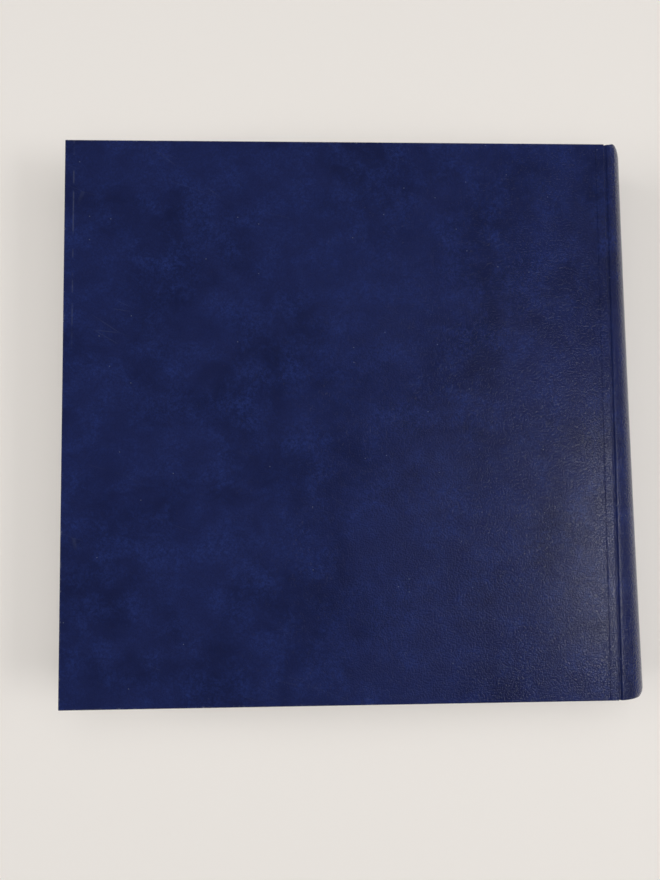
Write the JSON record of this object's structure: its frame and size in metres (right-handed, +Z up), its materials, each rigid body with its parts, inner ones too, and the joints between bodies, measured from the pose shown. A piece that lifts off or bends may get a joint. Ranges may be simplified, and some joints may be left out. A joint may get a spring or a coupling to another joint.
{
  "type": "coin album",
  "caption": "Square ring-bound coin album in deep blue leatherette with a rounded spine, board pages with round coin wells and clear pull-out slides.",
  "frame": {"origin": "middle of the album's outline, on the outer face of the front cover that it lies on", "axes": "+X from the fore edge to the spine, +Y to the head, +Z up through the closed album"},
  "size_m": [0.261, 0.255, 0.036],
  "materials": {
    "leatherette": "deep blue grained leatherette, semi-gloss",
    "greyboard": "raw grey board",
    "endpaper": "smooth off-white lining paper",
    "joint_cloth": "fine woven dark blue lining cloth",
    "nickel_steel": "nickel-plated sheet steel and wire",
    "page_card": "blue printed card",
    "page_board": "white-lined grey board",
    "clear_film": "clear acetate"
  },
  "bodies": {
    "front_cover": {"front_board": "greyboard", "front_leatherette": "leatherette", "front_endpaper": "endpaper", "front_joint_leatherette": "leatherette", "front_joint_cloth": "joint_cloth"},
    "spine": {"spine_board": "greyboard", "spine_leatherette": "leatherette", "spine_lining": "joint_cloth", "ring_cover_plate": "nickel_steel", "lever_pins": "nickel_steel", "spine_rivets": "nickel_steel", "rivet_spacers": "nickel_steel"},
    "back_cover": {"back_board": "greyboard", "back_leatherette": "leatherette", "back_endpaper": "endpaper", "back_joint_leatherette": "leatherette", "back_joint_cloth": "joint_cloth"},
    "upper_rings": {"upper_blade": "nickel_steel", "upper_ring_halves": "nickel_steel"},
    "lower_rings": {"lower_blade": "nickel_steel", "lower_ring_halves": "nickel_steel"},
    "head_lever": {"head_lever": "nickel_steel"},
    "tail_lever": {"tail_lever": "nickel_steel"},
    "page_1": {"page_1_face_card": "page_card", "page_1_film": "clear_film", "page_1_core": "page_board", "page_1_slide_card": "page_card"},
    "page_1_slide_1": {"page_1_slide_1": "clear_film"},
    "page_1_slide_2": {"page_1_slide_2": "clear_film"},
    "page_1_slide_3": {"page_1_slide_3": "clear_film"},
    "page_1_slide_4": {"page_1_slide_4": "clear_film"},
    "page_2": {"page_2_face_card": "page_card", "page_2_film": "clear_film", "page_2_core": "page_board", "page_2_slide_card": "page_card"},
    "page_2_slide_1": {"page_2_slide_1": "clear_film"},
    "page_2_slide_2": {"page_2_slide_2": "clear_film"},
    "page_2_slide_3": {"page_2_slide_3": "clear_film"},
    "page_2_slide_4": {"page_2_slide_4": "clear_film"},
    "page_3": {"page_3_face_card": "page_card", "page_3_film": "clear_film", "page_3_core": "page_board", "page_3_slide_card": "page_card"},
    "page_3_slide_1": {"page_3_slide_1": "clear_film"},
    "page_3_slide_2": {"page_3_slide_2": "clear_film"},
    "page_3_slide_3": {"page_3_slide_3": "clear_film"},
    "page_3_slide_4": {"page_3_slide_4": "clear_film"},
    "page_4": {"page_4_face_card": "page_card", "page_4_film": "clear_film", "page_4_core": "page_board", "page_4_slide_card": "page_card"},
    "page_4_slide_1": {"page_4_slide_1": "clear_film"},
    "page_4_slide_2": {"page_4_slide_2": "clear_film"},
    "page_4_slide_3": {"page_4_slide_3": "clear_film"},
    "page_4_slide_4": {"page_4_slide_4": "clear_film"}
  },
  "joints": [
    {"name": "back_cover_hinge", "type": "hinge", "parent": "spine", "child": "back_cover", "pos_m": [0.11925, 0, 0.0355], "axis": [0, 1, 0], "range_deg": [0, 156], "deforming": ["back_joint_leatherette", "back_joint_cloth"]},
    {"name": "spine_hinge", "type": "hinge", "parent": "front_cover", "child": "spine", "pos_m": [0.11925, 0, 0.0005], "axis": [0, 1, 0], "range_deg": [-0.01, 30.02], "deforming": ["front_joint_leatherette", "front_joint_cloth"]},
    {"name": "page_1_turn", "type": "hinge", "parent": "spine", "child": "page_1", "pos_m": [0.10839, 0, 0.018], "axis": [0, 1, 0], "range_deg": [-30.61, 0.01]},
    {"name": "page_2_turn", "type": "hinge", "parent": "spine", "child": "page_2", "pos_m": [0.10839, 0, 0.018], "axis": [0, 1, 0], "range_deg": [-28.51, 0.01]},
    {"name": "page_3_turn", "type": "hinge", "parent": "spine", "child": "page_3", "pos_m": [0.10839, 0, 0.018], "axis": [0, 1, 0], "range_deg": [-4.01, 0.01]},
    {"name": "page_4_turn", "type": "hinge", "parent": "spine", "child": "page_4", "pos_m": [0.10839, 0, 0.018], "axis": [0, 1, 0], "range_deg": [-0.01, 42.01]},
    {"name": "upper_rings_open", "type": "hinge", "parent": "spine", "child": "upper_rings", "pos_m": [0.12189, 0, 0.0276], "axis": [0, 1, 0], "range_deg": [0, 7]},
    {"name": "lower_rings_open", "type": "hinge", "parent": "spine", "child": "lower_rings", "pos_m": [0.12189, 0, 0.0084], "axis": [0, -1, 0], "range_deg": [-0.01, 7.01]},
    {"name": "head_lever_press", "type": "hinge", "parent": "spine", "child": "head_lever", "pos_m": [0.12179, 0.1116, 0.018], "axis": [0, 0, -1], "range_deg": [-0.02, 16.02]},
    {"name": "tail_lever_press", "type": "hinge", "parent": "spine", "child": "tail_lever", "pos_m": [0.12179, -0.1116, 0.018], "axis": [0, 0, 1], "range_deg": [-0.02, 16.02]},
    {"name": "page_1_slide_1_pull", "type": "slide", "parent": "page_1", "child": "page_1_slide_1", "axis": [-0.9998, 0, -0.0212], "range_m": [0, 0.185]},
    {"name": "page_1_slide_2_pull", "type": "slide", "parent": "page_1", "child": "page_1_slide_2", "axis": [-0.9998, 0, -0.0212], "range_m": [0, 0.185]},
    {"name": "page_1_slide_3_pull", "type": "slide", "parent": "page_1", "child": "page_1_slide_3", "axis": [-0.9998, 0, -0.0212], "range_m": [0, 0.185]},
    {"name": "page_1_slide_4_pull", "type": "slide", "parent": "page_1", "child": "page_1_slide_4", "axis": [-0.9998, 0, -0.0212], "range_m": [0, 0.185]},
    {"name": "page_2_slide_1_pull", "type": "slide", "parent": "page_2", "child": "page_2_slide_1", "axis": [-0.9998, 0, -0.0212], "range_m": [0, 0.185]},
    {"name": "page_2_slide_2_pull", "type": "slide", "parent": "page_2", "child": "page_2_slide_2", "axis": [-0.9998, 0, -0.0212], "range_m": [0, 0.185]},
    {"name": "page_2_slide_3_pull", "type": "slide", "parent": "page_2", "child": "page_2_slide_3", "axis": [-0.9998, 0, -0.0212], "range_m": [0, 0.185]},
    {"name": "page_2_slide_4_pull", "type": "slide", "parent": "page_2", "child": "page_2_slide_4", "axis": [-0.9998, 0, -0.0212], "range_m": [0, 0.185]},
    {"name": "page_3_slide_1_pull", "type": "slide", "parent": "page_3", "child": "page_3_slide_1", "axis": [-0.9998, 0, -0.0212], "range_m": [0, 0.185]},
    {"name": "page_3_slide_2_pull", "type": "slide", "parent": "page_3", "child": "page_3_slide_2", "axis": [-0.9998, 0, -0.0212], "range_m": [0, 0.185]},
    {"name": "page_3_slide_3_pull", "type": "slide", "parent": "page_3", "child": "page_3_slide_3", "axis": [-0.9998, 0, -0.0212], "range_m": [0, 0.185]},
    {"name": "page_3_slide_4_pull", "type": "slide", "parent": "page_3", "child": "page_3_slide_4", "axis": [-0.9998, 0, -0.0212], "range_m": [0, 0.185]},
    {"name": "page_4_slide_1_pull", "type": "slide", "parent": "page_4", "child": "page_4_slide_1", "axis": [-0.9998, 0, -0.0212], "range_m": [0, 0.185]},
    {"name": "page_4_slide_2_pull", "type": "slide", "parent": "page_4", "child": "page_4_slide_2", "axis": [-0.9998, 0, -0.0212], "range_m": [0, 0.185]},
    {"name": "page_4_slide_3_pull", "type": "slide", "parent": "page_4", "child": "page_4_slide_3", "axis": [-0.9998, 0, -0.0212], "range_m": [0, 0.185]},
    {"name": "page_4_slide_4_pull", "type": "slide", "parent": "page_4", "child": "page_4_slide_4", "axis": [-0.9998, 0, -0.0212], "range_m": [0, 0.185]}
  ],
  "couplings": [
    {"joint": "spine_hinge", "follows": "back_cover_hinge", "ratio": 0.19231},
    {"joint": "page_1_turn", "follows": "back_cover_hinge", "ratio": -0.19615},
    {"joint": "page_2_turn", "follows": "back_cover_hinge", "ratio": -0.18269},
    {"joint": "page_3_turn", "follows": "back_cover_hinge", "ratio": -0.025641},
    {"joint": "page_4_turn", "follows": "back_cover_hinge", "ratio": 0.26923},
    {"joint": "lower_rings_open", "follows": "upper_rings_open", "ratio": 1},
    {"joint": "head_lever_press", "follows": "upper_rings_open", "ratio": 2.2857},
    {"joint": "tail_lever_press", "follows": "upper_rings_open", "ratio": 2.2857}
  ]
}
